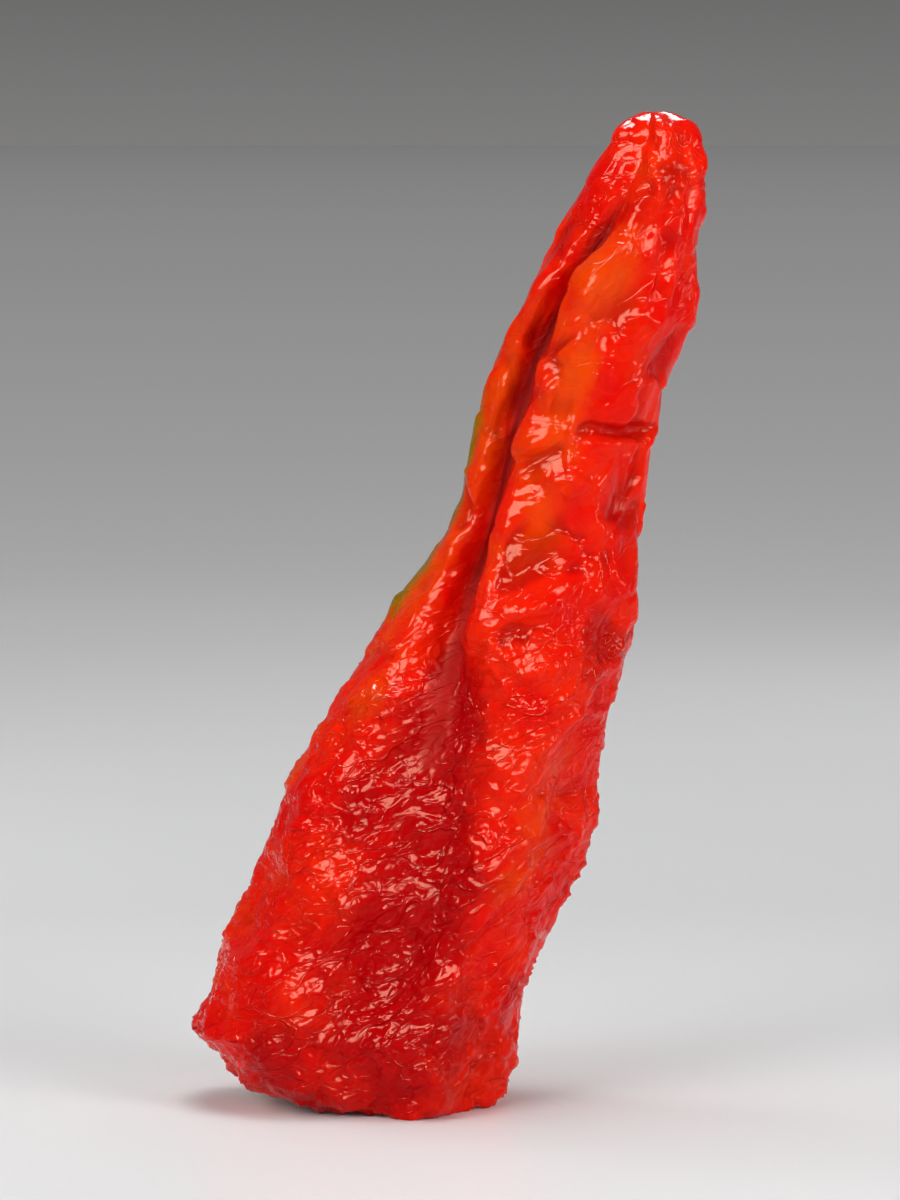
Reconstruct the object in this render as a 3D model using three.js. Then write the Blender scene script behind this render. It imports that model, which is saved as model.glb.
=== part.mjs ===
// A ripe chilli pepper, shrivelled and crinkled, standing upright on its broad shoulder.
//
// Units are millimetres and +Z is up.  The fruit leans to +X, its deep furrow faces -Y.
// Everything is laid out round the axis of the stalk hollow and moved at the very end,
// so that the origin is the middle of the underside of the box that the part fills.
//
// The fruit is one closed skin: an underside with a hollow for the stalk, a body built
// from level slices, and a blunt crown.  Folds and crinkles are pushed in along the
// normals of that skin.  A green star shaped calyx sits in the hollow and a bent stalk
// leaves it under the raised side of the shoulder.
import * as THREE from 'three';

// Driving dimensions of the fruit
const HEIGHT = 160;             // from the ground to the crown
const SHOULDER = 12.2;          // height of the widest level of the base
const CAP_START = 155;          // height where the crown begins to round over
const CROWN_X = 50;             // the top of the crown, along X
const AXIS_X = 1.8;             // the stalk hollow's middle, along X
const SINK = 0.9;               // how much of the underside is pressed flat by the ground
const HOLLOW_HEIGHT = 10.4;     // height of the stalk hollow's roof, before the sink
const HOLLOW_FLAT = 3;          // radius of the flat middle of that roof
const HOLLOW_RADIUS = 15;       // radius where the hollow meets the ground
const STALK_WAY = 155;          // compass angle in degrees that the stalk leaves by
const STALK_ROOM = 6.8;         // height of the way kept free for the stalk
const STALK_ROOM_HALF = 5.2;    // half width of that way

// Driving dimensions of the calyx and the stalk
const GAP = 0.3;                // clear space between neighbouring pieces
const CALYX_ROOM = 0.45;        // from the hollow's roof down to the calyx
const CALYX_WAY = 191;          // compass angle of one of its tips, so the stalk meets a notch
const CALYX_RADIUS = 7.0;       // between the tips and the notches
const CALYX_TIP = 1.7;          // how far the tips reach past that
const CALYX_THICK = 1.6;        // at its middle
const CALYX_EDGE = 0.8;         // at its rim
const STALK_RADIUS = 2.0;       // half thickness of the stalk
const STALK_COLLAR = 2.9;       // half thickness where it meets the calyx
const STALK_RIBS = 5;           // soft ribs along the stalk

// How finely the skin is cut into facets
const AROUND = 66;
const UNDER_ROWS = 14;
const BODY_ROWS = 52;
const CAP_ROWS = 6;

// Middle of the box that the finished part fills, along X and Y
const BOX_X = 17.37;
const BOX_Y = 1.22;

const DEG = Math.PI / 180;

// The bends of the outline as seen from the front: height, place along X.
const LEFT_EDGE = [
  [12, -24], [42, -12], [64, -2], [82, 10.5], [96, 18], [120, 25], [131, 29.5], [155, 43.5],
];
const RIGHT_EDGE = [
  [12, 28], [28, 33], [39, 38.5], [56, 41.5], [74, 47.5], [92, 48], [121, 53], [127, 56],
  [151, 59.5], [155, 58],
];

// Path of the deep front furrow: height, and its place between the middle of the slice
// at 0 and the left edge at -1.
const FURROW = [
  [10, 0], [22, 0.1], [46, 0], [64, -0.2], [80, -0.39], [105, -0.53], [119, -0.51],
  [138, -0.39], [159, -0.2],
];

// The columns of the grid stand closer in the furrow and follow it.
const FURROW_COLUMN = -105;     // the even angle of the column that runs along its bottom
const FURROW_REACH = 62;        // how far round the others are drawn along, in degrees
const FURROW_CROWD = 0.42;      // how much closer they stand there
const FURROW_NEAR = 28;         // and how far round, in degrees

// Depth of a slice against its half width, on the front and on the back side.
const FRONT_DEPTH = [
  [0, 0.96], [13, 0.98], [30, 0.94], [50, 0.84], [80, 0.74], [110, 0.72], [140, 0.78],
  [150, 0.84], [160, 0.88],
];
const BACK_DEPTH = [
  [0, 0.94], [13, 0.96], [30, 0.90], [50, 0.76], [80, 0.62], [110, 0.60], [140, 0.70],
  [150, 0.80], [160, 0.84],
];

// The other furrows: compass angle, depth as a share of the half width, half angle.
const SIDE_FURROWS = [
  [62, 0.15, 15],
  [126, 0.13, 13],
  [-28, 0.05, 14],
];

// Single dents and swellings: height, compass angle, half height, half angle, and how far
// out they push the skin.  A negative push is a dent.
const DABS = [
  [74, -30, 8, 17, -2.0],
  [85, -80, 10, 20, 0.9],
  [109, -52, 1.5, 26, -1.0],
  [113, -50, 5, 26, 0.7],
  [101, -36, 7, 15, -0.8],
  [44, -112, 15, 13, -1.3],
  [27, -93, 10, 16, -1.1],
  [36, -60, 14, 16, 1.2],
  [52, -150, 12, 16, 0.9],
  [62, -58, 7, 14, 0.8],
  [132, -70, 8, 9, 0.7],
  [140, -40, 12, 8, -0.8],
  [60, 95, 12, 18, 1.2],
  [92, 90, 10, 20, -1.0],
  [30, 30, 12, 15, -1.2],
];

// Smooth step from 0 at a to 1 at b.
function smooth(a, b, x) {
  const t = Math.min(Math.max((x - a) / (b - a), 0), 1);
  return t * t * (3 - 2 * t);
}

// A smooth curve through the rows of a table, read at height x.
function through(table, column, x) {
  const last = table.length - 1;
  let k = 0;
  while (k < last - 1 && x > table[k + 1][0]) {
    k += 1;
  }
  const slope = (i) => {
    const a = Math.max(i - 1, 0);
    const b = Math.min(i + 1, last);
    return (table[b][column] - table[a][column]) / (table[b][0] - table[a][0]);
  };
  const h = table[k + 1][0] - table[k][0];
  const t = Math.min(Math.max((x - table[k][0]) / h, 0), 1);
  const u = t * t;
  const v = u * t;
  return (2 * v - 3 * u + 1) * table[k][column] + (v - 2 * u + t) * h * slope(k)
    + (3 * u - 2 * v) * table[k + 1][column] + (v - u) * h * slope(k + 1);
}

// The difference between two angles, between half a turn each way.
function turn(a, b) {
  const d = (a - b + Math.PI) % (2 * Math.PI);
  return (d < 0 ? d + 2 * Math.PI : d) - Math.PI;
}

// A bell round angle c with its own width to either side.
function bell(a, c, wide) {
  const d = turn(a, c) / wide;
  return Math.exp(-d * d);
}

// A repeatable scatter value between 0 and 1 for a whole numbered place.
function scatter(ix, iy, iz, salt) {
  let h = Math.imul(ix, 374761393) + Math.imul(iy, 668265263) | 0;
  h = h + Math.imul(iz, 2246822519) + Math.imul(salt, 1274126177) >>> 0;
  h = Math.imul(h ^ (h >>> 13), 1103515245) >>> 0;
  h = Math.imul(h ^ (h >>> 16), 2246822519) >>> 0;
  return ((h ^ (h >>> 15)) >>> 0) / 4294967295;
}

// Soft rolling noise between about -1 and 1: random slopes at whole numbered places,
// blended between them.
function rolling(x, y, z, salt) {
  const ix = Math.floor(x);
  const iy = Math.floor(y);
  const iz = Math.floor(z);
  const fade = (f) => f * f * f * (f * (f * 6 - 15) + 10);
  const wx = fade(x - ix);
  const wy = fade(y - iy);
  const wz = fade(z - iz);
  let sum = 0;
  for (let n = 0; n < 8; n += 1) {
    const cx = n & 1;
    const cy = (n >> 1) & 1;
    const cz = n >> 2;
    const g = [0, 101, 202].map((s) => scatter(ix + cx, iy + cy, iz + cz, salt + s) * 2 - 1);
    const slope = g[0] * (x - ix - cx) + g[1] * (y - iy - cy) + g[2] * (z - iz - cz);
    sum += slope * (cx ? wx : 1 - wx) * (cy ? wy : 1 - wy) * (cz ? wz : 1 - wz);
  }
  return sum * 1.6;
}

// Dished cells between raised ridges: the squared distance to the nearest of points
// strewn one to a unit cell.
function dished(x, y, z, salt) {
  const ix = Math.floor(x);
  const iy = Math.floor(y);
  const iz = Math.floor(z);
  let nearest = 9;
  for (let a = ix - 1; a <= ix + 1; a += 1) {
    for (let b = iy - 1; b <= iy + 1; b += 1) {
      for (let c = iz - 1; c <= iz + 1; c += 1) {
        const dx = a + scatter(a, b, c, salt) - x;
        const dy = b + scatter(a, b, c, salt + 11) - y;
        const dz = c + scatter(a, b, c, salt + 22) - z;
        nearest = Math.min(nearest, dx * dx + dy * dy + dz * dz);
      }
    }
  }
  return nearest;
}

// Flat faces with short steep steps between them: every strewn point has a slope of its
// own, and the slopes are mixed by how near the points are.
function facets(x, y, z, salt) {
  const ix = Math.floor(x);
  const iy = Math.floor(y);
  const iz = Math.floor(z);
  let total = 0;
  let weights = 1e-9;
  for (let a = ix - 1; a <= ix + 1; a += 1) {
    for (let b = iy - 1; b <= iy + 1; b += 1) {
      for (let c = iz - 1; c <= iz + 1; c += 1) {
        const dx = x - a - scatter(a, b, c, salt);
        const dy = y - b - scatter(a, b, c, salt + 11);
        const dz = z - c - scatter(a, b, c, salt + 22);
        const w = Math.exp(-9 * (dx * dx + dy * dy + dz * dz));
        const g = [33, 44, 55].map((s) => scatter(a, b, c, salt + s) * 2 - 1);
        total += w * (g[0] * dx + g[1] * dy + g[2] * dz);
        weights += w;
      }
    }
  }
  return total / weights;
}

// The left and the right edge at height z.  Over the crown both close in along a quarter
// of an ellipse.
function edges(z) {
  const level = Math.min(z, CAP_START);
  const t = Math.max(z - CAP_START, 0) / (HEIGHT - CAP_START);
  const open = Math.sqrt(Math.max(1 - t * t, 0));
  return [LEFT_EDGE, RIGHT_EDGE].map((bends) => {
    return CROWN_X + (through(bends, 1, level) - CROWN_X) * open;
  });
}

// Where the front furrow lies across the slice at height z: 0 in the middle of the slice
// and -1 at its left edge.
function furrowPlace(z) {
  return through(FURROW, 1, z);
}

// The compass angle at height z of the column with the even angle u.
function columnAngle(u, z) {
  const start = FURROW_COLUMN * DEG;
  const d = turn(u, start);
  const near = d / (FURROW_NEAR * DEG);
  const v = u - FURROW_CROWD * d * Math.exp(-near * near);
  return v + (-Math.acos(furrowPlace(z)) - start) * bell(v, start, FURROW_REACH * DEG);
}

// A bell with one width to its left and another to its right.
function lopsided(d, left, right) {
  const part = d / (d > 0 ? right : left);
  return Math.exp(-part * part);
}

// How far the front is pushed back at a place across the slice, in half depths.  The left
// lobe is a low slab that ends at the foot of the right lobe's steep wall; lower down
// both open into a broad valley.
function frontRelief(across, z) {
  const upper = smooth(58, 82, z);
  const tip = smooth(126, 150, z);
  const d = across - furrowPlace(z);
  const depth = 0.27 + 0.27 * upper - 0.36 * tip - 0.14 * smooth(30, 0, z);
  const furrow = depth * lopsided(d, 0.42 - 0.15 * upper, 0.36 - 0.28 * upper + 0.14 * tip);
  const lobe = 0.05 * upper * (1 - tip) * lopsided(across + 0.86, 0.15, 0.15);
  const high = 0.04 + 0.10 * upper - 0.08 * tip;
  return furrow - lobe - high * lopsided(d - 0.30 + 0.10 * upper, 0.14, 0.26);
}

// A factor on the radius for the shallow furrows at the side and behind.
function backRelief(angle, z) {
  let out = 1;
  for (const [way, deep, wide] of SIDE_FURROWS) {
    const bent = (way + 9 * Math.sin(z / 23 + way)) * DEG;
    out -= deep * (1 - 0.5 * smooth(124, 152, z)) * bell(angle, bent, wide * DEG);
  }
  return out;
}

// One level slice as a ring of x, y and compass angle.  The furrow's right wall leans out
// over the furrow a little.
function slice(z) {
  const [left, right] = edges(z);
  const half = (right - left) / 2;
  const ring = [];
  for (let i = 0; i < AROUND; i += 1) {
    const angle = columnAngle((i / AROUND) * 2 * Math.PI, z);
    const across = Math.cos(angle);
    const out = backRelief(angle, z);
    const front = smooth(0.05, -0.30, Math.sin(angle));
    const flat = through(Math.sin(angle) < 0 ? FRONT_DEPTH : BACK_DEPTH, 1, z);
    const steep = 0.07 * smooth(70, 84, z) * smooth(150, 130, z) * front;
    const lean = steep * lopsided(across - furrowPlace(z) - 0.11, 0.08, 0.12);
    const x = (left + right) / 2 + half * (across * out - lean);
    const y = half * flat * (Math.sin(angle) * out + front * frontRelief(across, z));
    ring.push([x, y, angle]);
  }
  return ring;
}

// Height of the underside, for a place given by its angle, its share q of the way from
// the stalk axis to the shoulder, and its x, y measured from the stalk axis.
function underside(angle, q, x, y) {
  const raised = smooth(0.2, -0.9, Math.cos(angle));
  const turned = 0.76 + 0.08 * Math.min(1 - Math.cos(angle), 1);
  const edge = Math.max((q - turned) / (1 - turned), 0);
  const rounded = 1 - Math.sqrt(Math.max(1 - edge * edge, 0));
  const lifted = Math.pow(Math.max((q - 0.32) / 0.68, 0), 1.6);
  const rise = rounded * (1 - raised) + lifted * raised;
  const radius = Math.hypot(x, y);
  let z = SHOULDER * rise - SINK * (1 - rise);
  z += HOLLOW_HEIGHT * (1 - smooth(HOLLOW_FLAT, HOLLOW_RADIUS, radius));
  const creases = bell(angle, -90 * DEG, 22 * DEG) + bell(angle, 62 * DEG, 16 * DEG)
    + bell(angle, 126 * DEG, 16 * DEG);
  z += 1.6 * creases * smooth(0.5, 0.85, q) * (1 - rise);
  const along = x * Math.cos(STALK_WAY * DEG) + y * Math.sin(STALK_WAY * DEG);
  const aside = (y * Math.cos(STALK_WAY * DEG) - x * Math.sin(STALK_WAY * DEG)) / STALK_ROOM_HALF;
  const room = Math.exp(-aside * aside) * smooth(3, 8, along);
  return z + room * Math.max(STALK_ROOM - z, 0);
}

// The plain skin without crinkles: rows of AROUND points from the shoulder hollow's
// first ring up to the crown's last, and the two poles that close it.
function plainSkin() {
  const rows = [];
  const angles = [];
  const share = [];
  const shoulder = slice(SHOULDER);
  for (let j = 1; j < UNDER_ROWS; j += 1) {
    const t = j / UNDER_ROWS;
    const q = t * (1.25 - 0.25 * t);
    rows.push(shoulder.map(([sx, sy, angle]) => {
      const x = (sx - AXIS_X) * q;
      const y = sy * q;
      return [AXIS_X + x, y, underside(angle, q, x, y)];
    }));
    angles.push(shoulder.map((p) => p[2]));
    share.push(q);
  }
  for (let j = 0; j <= BODY_ROWS; j += 1) {
    const z = SHOULDER + ((CAP_START - SHOULDER) * j) / BODY_ROWS;
    const ring = slice(z);
    rows.push(ring.map(([x, y]) => [x, y, z]));
    angles.push(ring.map((p) => p[2]));
    share.push(1);
  }
  for (let j = 1; j < CAP_ROWS; j += 1) {
    const z = CAP_START + (HEIGHT - CAP_START) * Math.sin((j / CAP_ROWS) * Math.PI / 2);
    const ring = slice(z);
    rows.push(ring.map(([x, y]) => [x, y, z]));
    angles.push(ring.map((p) => p[2]));
    share.push(1);
  }
  return { rows, angles, share };
}

// 1 along the bottom of the front furrow, fading to each side, and 0 on the back.
function inFurrow(angle, z, left, right) {
  return smooth(0.1, -0.2, Math.sin(angle)) * lopsided(Math.cos(angle) - furrowPlace(z), left, right);
}

// How far folds push the skin out at a point.  Broad dished cells with ridges between
// them cover the lower half, long folds run up the rest, flat creased faces lie over
// both, and all die away in the front furrow and on the underside.
function folds(x, y, z, angle, q) {
  const [left, right] = edges(z);
  const middle = (left + right) / 2;
  const sx = x - middle + 2.4 * rolling(x / 11, y / 11, z / 11, 7);
  const sy = y + 2.4 * rolling(x / 11, y / 11, z / 11, 307);
  const sz = z + 2.4 * rolling(x / 11, y / 11, z / 11, 607);
  const low = smooth(88, 66, z);
  const top = smooth(112, 130, z);
  const cells = (dished(sx / 12.5, sy / 12.5, sz / 11.5, 1) - 0.33) * (0.8 + 1.6 * low);
  const long = (dished(sx / 8, sy / 8, sz / 27, 2) - 0.33) * (1.0 + 1.9 * top);
  const creased = facets(sx / 8.5, sy / 8.5, sz / 10, 20);
  const crown = 0.5 * Math.cos(5 * angle + 1) * smooth(148, 155, z);
  let push = cells + long + creased + crown;
  for (const [height, way, tall, wide, out] of DABS) {
    const d = (z - height) / tall;
    push += out * Math.exp(-d * d) * bell(angle, way * DEG, wide * DEG);
  }
  const upper = smooth(60, 78, z);
  push *= 1 - 0.85 * upper * inFurrow(angle, z, 0.30, 0.12);
  push *= 1 - 0.75 * smooth(155, HEIGHT, z);
  return push * smooth(0.62, 1.0, q);
}

// The outward normal at row j, column i of a grid whose columns close on themselves.
function outward(rows, j, i) {
  const n = rows[0].length;
  const up = rows[Math.min(j + 1, rows.length - 1)][i];
  const down = rows[Math.max(j - 1, 0)][i];
  const right = rows[j][(i + 1) % n];
  const left = rows[j][(i + n - 1) % n];
  const a = new THREE.Vector3(right[0] - left[0], right[1] - left[1], right[2] - left[2]);
  const b = new THREE.Vector3(up[0] - down[0], up[1] - down[1], up[2] - down[2]);
  return a.cross(b).normalize();
}

// A closed solid from rows of rings and a pole at each end.  Rings run anticlockwise
// seen from above when the first pole is the lower one.
function closedSolid(rows, first, last) {
  const n = rows[0].length;
  const points = [first, ...rows.flat(), last];
  const faces = [];
  const at = (j, i) => 1 + j * n + (i % n);
  for (let i = 0; i < n; i += 1) {
    faces.push(0, at(0, i + 1), at(0, i));
    faces.push(points.length - 1, at(rows.length - 1, i), at(rows.length - 1, i + 1));
    for (let j = 0; j + 1 < rows.length; j += 1) {
      faces.push(at(j, i), at(j, i + 1), at(j + 1, i + 1));
      faces.push(at(j, i), at(j + 1, i + 1), at(j + 1, i));
    }
  }
  const geometry = new THREE.BufferGeometry();
  const moved = points.map(([x, y, z]) => [x - BOX_X, y - BOX_Y, z]);
  geometry.setAttribute('position', new THREE.Float32BufferAttribute(moved.flat(), 3));
  geometry.setIndex(faces);
  geometry.computeVertexNormals();
  return geometry;
}

// The fruit: the plain skin with its folds, pressed flat where it meets the ground.
function fruit() {
  const { rows, angles, share } = plainSkin();
  const folded = rows.map((row, j) => row.map(([x, y, z], i) => {
    const push = folds(x, y, z, angles[j][i], share[j]);
    const n = outward(rows, j, i);
    return [x + n.x * push, y + n.y * push, Math.max(z + n.z * push, 0)];
  }));
  const crown = folded[folded.length - 1];
  const mean = (k) => crown.reduce((sum, p) => sum + p[k], 0) / crown.length;
  const roof = HOLLOW_HEIGHT - SINK;
  return closedSolid(folded, [AXIS_X, 0, roof], [mean(0), mean(1), HEIGHT - 0.6]);
}

// The roof of the stalk hollow at a distance from its axis.
function roof(radius) {
  return HOLLOW_HEIGHT * (1 - smooth(HOLLOW_FLAT, HOLLOW_RADIUS, radius)) - SINK;
}

// The calyx: a thin five pointed star that follows the roof of the hollow.
function calyx() {
  const around = 50;
  const rings = 5;
  const reach = (angle) => {
    const point = Math.pow(0.5 + 0.5 * Math.cos(5 * (angle - CALYX_WAY * DEG)), 1.6);
    return CALYX_RADIUS + CALYX_TIP * (2 * point - 1) + 0.25 * Math.sin(3 * angle + 1);
  };
  const ring = (s, drop) => Array.from({ length: around }, (unused, i) => {
    const angle = (i / around) * 2 * Math.PI;
    const radius = reach(angle) * s;
    const x = AXIS_X + radius * Math.cos(angle);
    return [x, radius * Math.sin(angle), roof(radius) - drop(s, angle)];
  });
  const upper = () => CALYX_ROOM;
  const rib = (angle) => 0.25 * Math.cos(5 * (angle - CALYX_WAY * DEG));
  const lower = (s, angle) => CALYX_ROOM + CALYX_THICK + (CALYX_EDGE - CALYX_THICK) * s * s
    + rib(angle) * s * (1 - s) * 3;
  const rows = [];
  for (let j = 1; j <= rings; j += 1) {
    rows.push(ring(j / rings, lower));
  }
  for (let j = rings; j >= 1; j -= 1) {
    rows.push(ring(j / rings, upper));
  }
  const middle = HOLLOW_HEIGHT - SINK - CALYX_ROOM;
  return closedSolid(rows, [AXIS_X, 0, middle - CALYX_THICK], [AXIS_X, 0, middle]);
}

// The stalk: a ribbed rod that leaves the calyx downwards, bends, and runs out under
// the raised side of the shoulder.  Its far end is cut off square.
function stalk() {
  const start = HOLLOW_HEIGHT - SINK - CALYX_ROOM - CALYX_THICK - GAP;
  const along = new THREE.Vector3(Math.cos(STALK_WAY * DEG), Math.sin(STALK_WAY * DEG), 0);
  const aside = new THREE.Vector3(-along.y, along.x, 0);
  const path = [
    [0, 0, start], [0, 0, start - 1.1], [0.8, 0, start - 2.7], [2.6, 0, 3.1],
    [5, 0, 2.7], [9, 0.1, 2.6], [13, 0.1, 2.7], [16.5, -0.3, 3.2], [20, -1.0, 4.0],
  ];
  const curve = new THREE.CatmullRomCurve3(path.map(([a, b, z]) => new THREE.Vector3(AXIS_X, 0, z)
    .addScaledVector(along, a).addScaledVector(aside, b)));
  const steps = 22;
  const around = 20;
  const rows = [];
  for (let j = 0; j <= steps; j += 1) {
    const t = j / steps;
    const centre = curve.getPointAt(t);
    const way = curve.getTangentAt(t);
    const side = aside.clone().addScaledVector(way, -aside.dot(way)).normalize();
    const over = new THREE.Vector3().crossVectors(way, side);
    const collar = (STALK_COLLAR - STALK_RADIUS) * smooth(0.1, 0, t);
    const swell = 0.25 * smooth(0.8, 1, t);
    rows.push(Array.from({ length: around }, (unused, i) => {
      const angle = (i / around) * 2 * Math.PI;
      const rib = 0.12 * Math.cos(STALK_RIBS * angle + 2 * t) * smooth(0, 0.1, t);
      const r = STALK_RADIUS - 0.15 * t + collar + swell + rib;
      const p = centre.clone().addScaledVector(side, r * Math.cos(angle));
      p.addScaledVector(over, r * Math.sin(angle));
      return [p.x, p.y, Math.min(p.z, start)];
    }));
  }
  const end = curve.getPointAt(1);
  const begin = curve.getPointAt(0);
  return closedSolid(rows, [begin.x, begin.y, begin.z], [end.x, end.y, end.z]);
}

function piece(name, geometry, colour, roughness) {
  const material = new THREE.MeshStandardMaterial({ color: colour, roughness, metalness: 0 });
  const mesh = new THREE.Mesh(geometry, material);
  mesh.name = name;
  return mesh;
}

const pepper = new THREE.Group();
pepper.name = 'chilli_pepper';
pepper.add(piece('fruit', fruit(), 0xd5140a, 0.25));
pepper.add(piece('calyx', calyx(), 0x56691f, 0.6));
pepper.add(piece('stem', stalk(), 0x7a8436, 0.6));

export default pepper;
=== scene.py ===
# %% [markdown]
# # A shrivelled chilli pepper
#
# The real object is a ripe chilli that has lost water.  Its thin waxy skin no longer fits
# the flesh under it, so it has folded into a deep furrow, broad lobes and hundreds of
# sharp little crinkles that catch the light like cooking foil.  It stands on its broad
# shoulder, with a dry calyx and a bent stalk tucked under the raised side.
#
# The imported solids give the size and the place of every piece.  This script dresses them:
# it works the same shapes out again on a much finer grid, adds the crinkles and the
# finishes, and lights them like a plain studio shot.

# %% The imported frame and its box
import math

import bpy
import numpy as np
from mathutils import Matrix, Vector


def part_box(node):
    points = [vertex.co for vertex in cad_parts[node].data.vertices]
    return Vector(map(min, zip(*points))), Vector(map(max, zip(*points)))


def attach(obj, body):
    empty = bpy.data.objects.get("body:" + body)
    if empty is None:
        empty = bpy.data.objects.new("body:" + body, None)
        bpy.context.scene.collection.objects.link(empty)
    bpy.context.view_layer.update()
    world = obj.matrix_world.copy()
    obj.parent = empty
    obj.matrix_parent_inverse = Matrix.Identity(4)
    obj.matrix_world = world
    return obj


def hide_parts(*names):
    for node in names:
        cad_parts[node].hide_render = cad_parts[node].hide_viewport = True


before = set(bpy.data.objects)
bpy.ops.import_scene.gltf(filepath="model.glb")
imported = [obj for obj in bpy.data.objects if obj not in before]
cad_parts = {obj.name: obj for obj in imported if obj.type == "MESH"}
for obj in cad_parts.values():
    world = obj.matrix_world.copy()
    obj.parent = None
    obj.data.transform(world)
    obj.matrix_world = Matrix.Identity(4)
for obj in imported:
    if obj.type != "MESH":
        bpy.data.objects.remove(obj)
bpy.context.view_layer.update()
MM = 0.001                       # every shape below is worked out in millimetres
print("solids:", sorted(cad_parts))

# %% [markdown]
# ## The few numbers that set the form
#
# A natural form has no bores or flats to dimension, so it is pinned down by its bends: where
# the left and right edge of its outline turn, the path of the deep furrow, and how deep a
# slice is from front to back.  They are the same bends that shaped the solid, so the
# finished skin lies on it.  Everything is laid out round the axis of the stalk hollow
# and moved at the end, so that the origin is under the middle of the box.

# %% Driving sizes, in millimetres and degrees
HEIGHT = 160.0
SHOULDER = 12.2
CAP_START = 155.0
CROWN_X = 50.0                   # the top of the crown, along X
AXIS_X = 1.8
SINK = 0.9
HOLLOW_HEIGHT = 10.4
HOLLOW_FLAT = 3.0
HOLLOW_RADIUS = 15.0
STALK_WAY = 155.0
STALK_ROOM = 6.8
STALK_ROOM_HALF = 5.2
GAP = 0.3
BOX_X = 17.37
BOX_Y = 1.22

LEFT_EDGE = [                    # height and place along X of each bend of the outline
    (12, -24), (42, -12), (64, -2), (82, 10.5), (96, 18), (120, 25), (131, 29.5), (155, 43.5),
]
RIGHT_EDGE = [
    (12, 28), (28, 33), (39, 38.5), (56, 41.5), (74, 47.5), (92, 48), (121, 53), (127, 56),
    (151, 59.5), (155, 58),
]
FURROW = [                       # height, place between the middle (0) and left edge (-1)
    (10, 0), (22, 0.1), (46, 0), (64, -0.2), (80, -0.39), (105, -0.53), (119, -0.51),
    (138, -0.39), (159, -0.2),
]
FRONT_DEPTH = [                  # height, depth of a slice against its half width
    (0, 0.96), (13, 0.98), (30, 0.94), (50, 0.84), (80, 0.74), (110, 0.72), (140, 0.78),
    (150, 0.84), (160, 0.88),
]
BACK_DEPTH = [
    (0, 0.94), (13, 0.96), (30, 0.90), (50, 0.76), (80, 0.62), (110, 0.60), (140, 0.70),
    (150, 0.80), (160, 0.84),
]
SIDE_FURROWS = [(62, 0.15, 15), (126, 0.13, 13), (-28, 0.05, 14)]   # angle, depth, half angle
FURROW_COLUMN = -105.0           # the grid's own angle of the columns that follow the furrow
FURROW_REACH = 62.0              # how far round they are drawn along
FURROW_CROWD, FURROW_NEAR = 0.42, 28.0   # how much closer they stand there, and how far round
DABS = [                         # height, angle, half height, half angle, push outwards
    (74, -30, 8, 17, -2.0), (85, -80, 10, 20, 0.9), (109, -52, 1.5, 26, -1.0),
    (113, -50, 5, 26, 0.7), (101, -36, 7, 15, -0.8), (44, -112, 15, 13, -1.3),
    (27, -93, 10, 16, -1.1), (36, -60, 14, 16, 1.2), (52, -150, 12, 16, 0.9),
    (62, -58, 7, 14, 0.8), (132, -70, 8, 9, 0.7), (140, -40, 12, 8, -0.8),
    (60, 95, 12, 18, 1.2), (92, 90, 10, 20, -1.0), (30, 30, 12, 15, -1.2),
]
DEG = math.pi / 180
print("bends of the outline:", len(LEFT_EDGE + RIGHT_EDGE), "single dents and swellings:", len(DABS))

# %% [markdown]
# ## Small tools for curves and noise
#
# Crinkled skin is random but not shapeless.  Between its ridges the skin hangs like a
# hammock, so a good formula for it is the squared distance to the nearest of some strewn
# points: each point makes a shallow dish, and where two dishes meet there is a sharp
# ridge.  Bending the coordinates with soft rolling noise first makes the ridges wander.
# Each tool takes whole arrays, so a hundred thousand points are one call.

# %% Curves
def smooth(a, b, x):
    """0 at a, 1 at b, and 3t^2 - 2t^3 of the share t of the way between."""
    t = np.clip((x - a) / (b - a), 0, 1)
    return t * t * (3 - 2 * t)


def through(table, column, x):
    """A cubic curve through the table's rows; the slope at a row is that of the line between
    its neighbours."""
    rows = np.array(table, float)
    xs, ys = rows[:, 0], rows[:, column]
    row = np.arange(len(xs))
    before, after = np.maximum(row - 1, 0), np.minimum(row + 1, len(xs) - 1)
    slopes = (ys[after] - ys[before]) / (xs[after] - xs[before])
    k = np.clip(np.searchsorted(xs, x, side="left") - 1, 0, len(xs) - 2)
    h = xs[k + 1] - xs[k]
    t = np.clip((x - xs[k]) / h, 0, 1)
    u, v = t ** 2, t ** 3
    return ((2 * v - 3 * u + 1) * ys[k] + (v - 2 * u + t) * h * slopes[k]
            + (3 * u - 2 * v) * ys[k + 1] + (v - u) * h * slopes[k + 1])


def turn(a, b):
    """The angle from b to a, brought between half a turn each way."""
    return (a - b + math.pi) % (2 * math.pi) - math.pi


def bell(a, centre, wide):
    """exp(-d^2), where d is the angle from the centre over the width."""
    return np.exp(-(turn(a, centre) / wide) ** 2)


# %% Noise
DISH_MEAN = 0.33                 # mean height of the dishes


def scatter(ix, iy, iz, salt):
    """A repeatable value between 0 and 1 for each whole numbered place: the coordinates are
    multiplied by large odd numbers, added, and stirred by shifts."""
    key = np.uint32((salt * 1274126177) & 0xFFFFFFFF)
    h = (ix.astype(np.uint32) * np.uint32(374761393) + iy.astype(np.uint32) * np.uint32(668265263)
         + iz.astype(np.uint32) * np.uint32(2246822519) + key)
    h = (h ^ (h >> np.uint32(13))) * np.uint32(1103515245)
    h = (h ^ (h >> np.uint32(16))) * np.uint32(2246822519)
    return (h ^ (h >> np.uint32(15))) / 4294967295.0


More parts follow.
